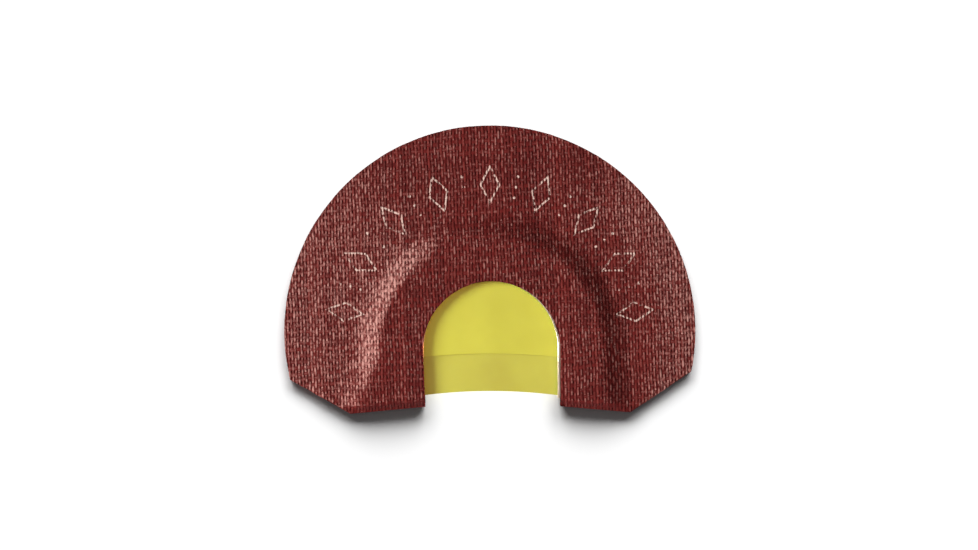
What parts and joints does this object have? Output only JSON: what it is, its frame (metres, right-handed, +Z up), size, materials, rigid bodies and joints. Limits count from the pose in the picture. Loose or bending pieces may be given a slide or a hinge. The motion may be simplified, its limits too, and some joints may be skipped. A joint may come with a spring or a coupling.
{
  "type": "diaphragm mouth call",
  "caption": "Horseshoe-shaped diaphragm mouth call: cloth-taped metal frame with stretched latex reeds across its opening, blown against the palate to imitate game.",
  "frame": {"origin": "bottom centre of the bounding box, in the plane of the flat underside below the frame", "axes": "+X runs across the call's width, +Y points to its round rear edge, so the open end with the reeds' free edges faces -Y, and +Z is up through the thickness to the embossed, marked face"},
  "size_m": [0.0446, 0.0313, 0.0022],
  "materials": {
    "upper_tape_cloth": "burgundy woven cloth tape, slightly glossy thread tops, pale worn ink marks",
    "lower_tape_cloth": "burgundy woven cloth tape, plain",
    "frame_aluminium": "satin stamped sheet",
    "upper_reed_latex": "satin translucent yellow latex film",
    "lower_reed_latex": "satin translucent yellow latex film"
  },
  "bodies": {
    "call": {"tape_upper": "upper_tape_cloth", "tape_lower": "lower_tape_cloth", "frame": "frame_aluminium", "reed_upper_margin": "upper_reed_latex", "reed_lower_margin": "lower_reed_latex"},
    "lower_reed": {"reed_lower_tongue": "lower_reed_latex"},
    "upper_reed": {"reed_upper_tongue": "upper_reed_latex"}
  },
  "joints": [
    {"name": "lower_reed_flutter", "type": "hinge", "parent": "call", "child": "lower_reed", "pos_m": [0.0002, -0.00159, 0.00101], "axis": [-1, 0, 0], "range_deg": [-4, 4], "stiffness_Nm_per_rad": 0.0003},
    {"name": "upper_reed_flutter", "type": "hinge", "parent": "call", "child": "upper_reed", "pos_m": [0.0002, -0.00159, 0.00114], "axis": [-1, 0, 0], "range_deg": [-4, 4], "stiffness_Nm_per_rad": 0.0003}
  ],
  "couplings": [
    {"joint": "upper_reed_flutter", "follows": "lower_reed_flutter", "ratio": 1}
  ]
}
